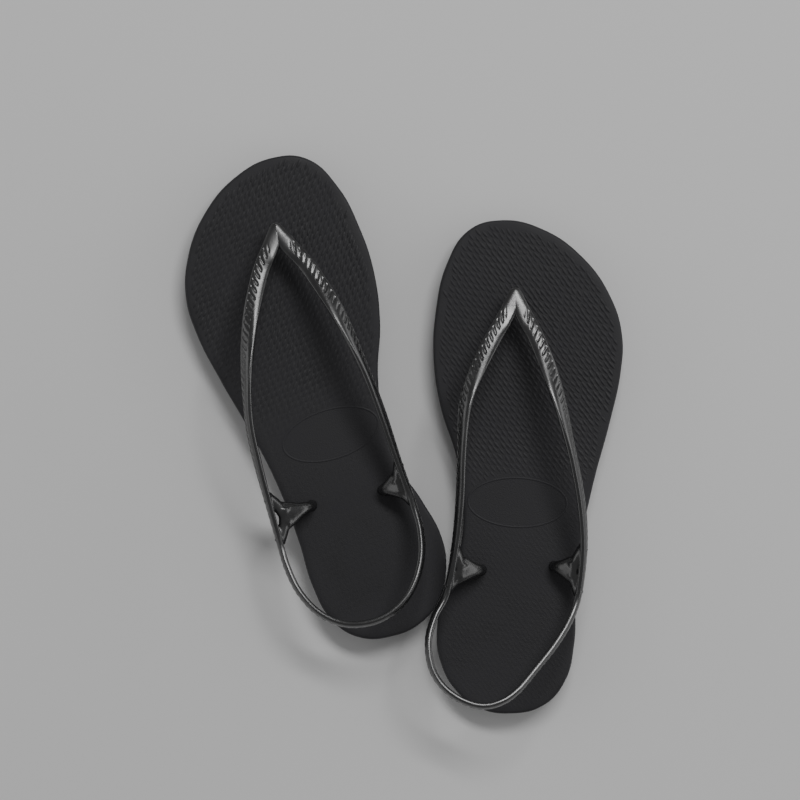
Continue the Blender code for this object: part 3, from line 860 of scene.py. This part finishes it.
def heel_neck(side, hole):
    """The shells of one heel neck: a collar on the footbed, a bar that rises steeply out of its hole
    and then leans out to the fork, two prongs that sag from there to the strap's arm, and the core
    that they melt into."""
    inner_side = hole == "inner"
    x, y = STEM_HOLES[hole]
    foot = np.array((x, y, sole_top(y)))
    front = arm_point(side, y + FRONT_PRONG["ahead"], inner_side, FRONT_PRONG["drop"])
    rear = arm_point(side, max(y - REAR_PRONG["behind"], FLEX_Y), inner_side, REAR_PRONG["drop"])
    middle = (front + rear) / 2
    outwards = (middle - foot) / np.linalg.norm(middle - foot)
    fork = foot + (middle - foot) * NECK_FORK
    rise = foot + (middle - foot) * NECK_RISE
    collar = [(radius, foot[2] + above) for radius, above in COLLAR_PROFILE]
    bottom = foot - (0, 0, foot[2] - STEM_BOTTOM)
    straight = [foot + (0, 0, above) for above in NECK_STRAIGHT]
    shells = [turned_bar((x, y), collar, COLLAR_SIDES),
              round_bar((bottom, *straight, rise, fork), NECK_RADII, ALONG_SOLE)]
    for end in (front, rear):
        start = fork - (end - fork) * PRONG_OVERLAP
        bend = fork + (end - fork) * PRONG_BEND - outwards * PRONG_SAG
        shells.append(round_bar((start, bend, end), PRONG_RADII, outwards))
    shells.append(strap_core(side, (front[1] + rear[1]) / 2, inner_side))
    return shells


def melted(name, shells, side, material):
    """The shells merged into one skin of small even quads, with their meeting lines smoothed to
    fillets."""
    points, faces = gathered(shells)
    piece = new_piece(name, points, faces, side, material)
    skin = piece.modifiers.new("one skin", "REMESH")
    skin.mode = "VOXEL"
    skin.voxel_size = SKIN_VOXEL * MM
    relax = piece.modifiers.new("fillets", "SMOOTH")
    relax.factor = FILLET_FACTOR
    relax.iterations = FILLET_ROUNDS
    settle(piece)
    return piece


for side in SIDES:
    shells = [turned_bar(middle, PLUG_PROFILE, PLUG_SIDES) for middle in STEM_HOLES.values()]
    shells.append(toe_post(side))
    shells.extend(heel_neck(side, "inner"))
    shells.extend(heel_neck(side, "outer"))
    stems = melted(f"{side}_strap_stems", shells, side, strap_rubber)
    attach(stems, f"{side}_sandal")
    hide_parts(f"{side}_thong_strap")

# THE STUDIO
# A pale grey paper floor under a wide soft box beyond the toes, which the glossy strap mirrors, with
# a low dim one on each side. The camera looks straight down from far above.

FLOOR_HALF = 3.0
FLOOR_LEVEL = -0.0002


def paper_floor():
    """Pale grey matt paper: one tone with the faintest cloudiness."""
    material = bpy.data.materials.new("paper_floor")
    material.use_nodes = True
    nodes, links = material.node_tree.nodes, material.node_tree.links
    shader = nodes["Principled BSDF"]
    shader.inputs["Roughness"].default_value = 0.9
    shader.inputs["Specular IOR Level"].default_value = 0.1
    place = nodes.new("ShaderNodeTexCoord")
    cloud = nodes.new("ShaderNodeTexNoise")
    cloud.inputs["Scale"].default_value = 2.0
    tone = nodes.new("ShaderNodeValToRGB")
    tone.color_ramp.elements[0].color = (0.745, 0.745, 0.745, 1)
    tone.color_ramp.elements[1].color = (0.755, 0.755, 0.755, 1)
    links.new(place.outputs["Object"], cloud.inputs["Vector"])
    links.new(cloud.outputs["Fac"], tone.inputs["Fac"])
    links.new(tone.outputs["Color"], shader.inputs["Base Color"])
    return material


floor_mesh = bpy.data.meshes.new("floor")
floor_corners = [(-FLOOR_HALF, -FLOOR_HALF, FLOOR_LEVEL), (FLOOR_HALF, -FLOOR_HALF, FLOOR_LEVEL),
                 (FLOOR_HALF, FLOOR_HALF, FLOOR_LEVEL), (-FLOOR_HALF, FLOOR_HALF, FLOOR_LEVEL)]
floor_mesh.from_pydata(floor_corners, [], [(0, 1, 2, 3)])
floor_mesh.materials.append(paper_floor())
floor = bpy.data.objects.new("floor", floor_mesh)
bpy.context.scene.collection.objects.link(floor)


def soft_box(name, place, aim, width, height, power):
    """A rectangular area light at a place, turned to its aim, with its width level. Its size is in
    metres and its power in watts."""
    light = bpy.data.lights.new(name, "AREA")
    light.shape = "RECTANGLE"
    light.size = width
    light.size_y = height
    light.energy = power
    lamp = bpy.data.objects.new(name, light)
    bpy.context.scene.collection.objects.link(lamp)
    lamp.location = place
    offset = np.array(aim, float) - place
    lamp.rotation_euler = (math.atan2(math.hypot(offset[0], offset[1]), -offset[2]), 0,
                           math.atan2(-offset[0], offset[1]))


soft_box("strip_box", place=(0.50, 1.10, 2.05), aim=(0, 0.05, 0), width=1.35, height=0.46, power=26)
soft_box("side_box", place=(1.6, 0.2, 0.42), aim=(0, 0, 0.02), width=2.4, height=0.7, power=9)
soft_box("fill_box", place=(-1.6, 0.0, 0.42), aim=(0, 0, 0.02), width=2.4, height=0.7, power=5)
world = bpy.data.worlds.new("studio_air")
bpy.context.scene.world = world
world.use_nodes = True
world.node_tree.nodes["Background"].inputs["Color"].default_value = (1, 1, 1, 1)
world.node_tree.nodes["Background"].inputs["Strength"].default_value = 0.23

CAMERA_PLACE = (-0.002, 0.017, 2.5)
camera = bpy.data.objects.new("camera", bpy.data.cameras.new("camera"))
bpy.context.scene.collection.objects.link(camera)
camera.data.sensor_width = 36
camera.data.lens = 225
camera.location = CAMERA_PLACE
bpy.context.scene.camera = camera
